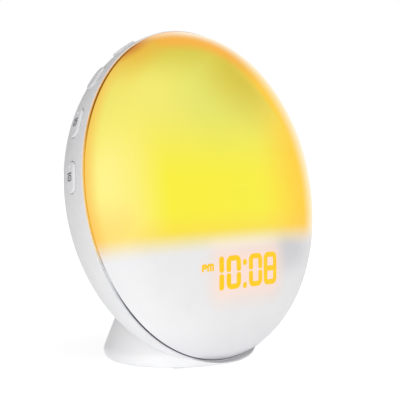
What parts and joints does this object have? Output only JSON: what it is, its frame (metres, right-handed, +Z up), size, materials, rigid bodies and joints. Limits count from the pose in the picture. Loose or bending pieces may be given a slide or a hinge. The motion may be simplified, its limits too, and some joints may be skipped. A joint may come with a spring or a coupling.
{
  "type": "sunrise alarm clock",
  "caption": "Round bedside lamp clock: a domed opal face on a shallow shell with a flared foot, side push buttons and amber digits.",
  "frame": {"origin": "on the table, under the middle of the oval foot", "axes": "+X to the right as seen from the front, +Y to the back, +Z up; the face looks towards -Y and leans back 9.4 degrees"},
  "size_m": [0.171, 0.0827, 0.1695],
  "materials": {
    "shell_plastic": "satin white moulding",
    "button_plastic": "satin white moulding",
    "opal_cover": "opal, lit from inside in the upper two thirds",
    "tray_plastic": "matt white moulding",
    "black_plastic": "black moulding",
    "plunger_plastic": "grey moulding",
    "circuit_board": "green solder mask",
    "lamp_board": "white solder mask",
    "lamp_led": "yellow encapsulant",
    "segment_lit": "glowing amber window",
    "segment_dark": "unlit window",
    "screw_steel": "zinc-plated steel",
    "contact_metal": "nickel-plated steel",
    "pad_rubber": "soft grey rubber",
    "speaker_frame": "black steel basket",
    "speaker_cone": "black paper cone",
    "speaker_magnet": "ferrite and steel"
  },
  "bodies": {
    "clock": {"rear_shell": "shell_plastic", "base_plate": "shell_plastic", "base_screws": "screw_steel", "rubber_pads": "pad_rubber", "front_cover": "opal_cover", "reflector_tray": "tray_plastic", "lamp_board": "lamp_board", "lamp_leds": "lamp_led", "lamp_screws": "screw_steel", "display_board": "circuit_board", "display_body": "black_plastic", "segments_lit": "segment_lit", "segments_dark": "segment_dark", "main_board": "circuit_board", "board_parts": "black_plastic", "board_screws": "screw_steel", "dc_jack": "black_plastic", "jack_pin": "contact_metal", "speaker_frame": "speaker_frame", "speaker_cone": "speaker_cone", "speaker_magnet": "speaker_magnet", "speaker_screws": "screw_steel", "key_board_left": "circuit_board", "key_board_right": "circuit_board", "key_board_screws": "screw_steel", "switches_left": "black_plastic", "switches_right": "black_plastic", "case_screws": "screw_steel", "coin_cell": "contact_metal", "cell_contact": "contact_metal"},
    "cell_lid": {"cell_cover": "shell_plastic"},
    "key_1": {"button_1": "button_plastic", "plunger_1": "plunger_plastic"},
    "key_2": {"button_2": "button_plastic", "plunger_2": "plunger_plastic"},
    "key_3": {"button_3": "button_plastic", "plunger_3": "plunger_plastic"},
    "key_4": {"button_4": "button_plastic", "plunger_4": "plunger_plastic"},
    "key_5": {"button_5": "button_plastic", "plunger_5": "plunger_plastic"},
    "key_6": {"button_6": "button_plastic", "plunger_6": "plunger_plastic"},
    "key_7": {"button_7": "button_plastic", "plunger_7": "plunger_plastic"},
    "key_8": {"button_8": "button_plastic", "plunger_8": "plunger_plastic"}
  },
  "joints": [
    {"name": "key_1_press", "type": "slide", "parent": "clock", "child": "key_1", "axis": [0.9917, -0.021, -0.1271], "range_m": [0, 0.0005], "stiffness_N_per_m": 600, "springref_m": -0.0006},
    {"name": "key_2_press", "type": "slide", "parent": "clock", "child": "key_2", "axis": [0.9003, -0.0711, -0.4294], "range_m": [0, 0.0005], "stiffness_N_per_m": 600, "springref_m": -0.0006},
    {"name": "key_3_press", "type": "slide", "parent": "clock", "child": "key_3", "axis": [0.7132, -0.1145, -0.6915], "range_m": [0, 0.0005], "stiffness_N_per_m": 600, "springref_m": -0.0006},
    {"name": "key_4_press", "type": "slide", "parent": "clock", "child": "key_4", "axis": [0.454, -0.1455, -0.879], "range_m": [0, 0.0005], "stiffness_N_per_m": 600, "springref_m": -0.0006},
    {"name": "key_5_press", "type": "slide", "parent": "clock", "child": "key_5", "axis": [-0.9917, -0.021, -0.1271], "range_m": [0, 0.0005], "stiffness_N_per_m": 600, "springref_m": -0.0006},
    {"name": "key_6_press", "type": "slide", "parent": "clock", "child": "key_6", "axis": [-0.9003, -0.0711, -0.4294], "range_m": [0, 0.0005], "stiffness_N_per_m": 600, "springref_m": -0.0006},
    {"name": "key_7_press", "type": "slide", "parent": "clock", "child": "key_7", "axis": [-0.7132, -0.1145, -0.6915], "range_m": [0, 0.0005], "stiffness_N_per_m": 600, "springref_m": -0.0006},
    {"name": "key_8_press", "type": "slide", "parent": "clock", "child": "key_8", "axis": [-0.454, -0.1455, -0.879], "range_m": [0, 0.0005], "stiffness_N_per_m": 600, "springref_m": -0.0006},
    {"name": "cell_lid_turn", "type": "hinge", "parent": "clock", "child": "cell_lid", "pos_m": [0.042, 0.01376, 0.08237], "axis": [0, 0.9866, -0.1633], "range_deg": [0, 45]}
  ]
}
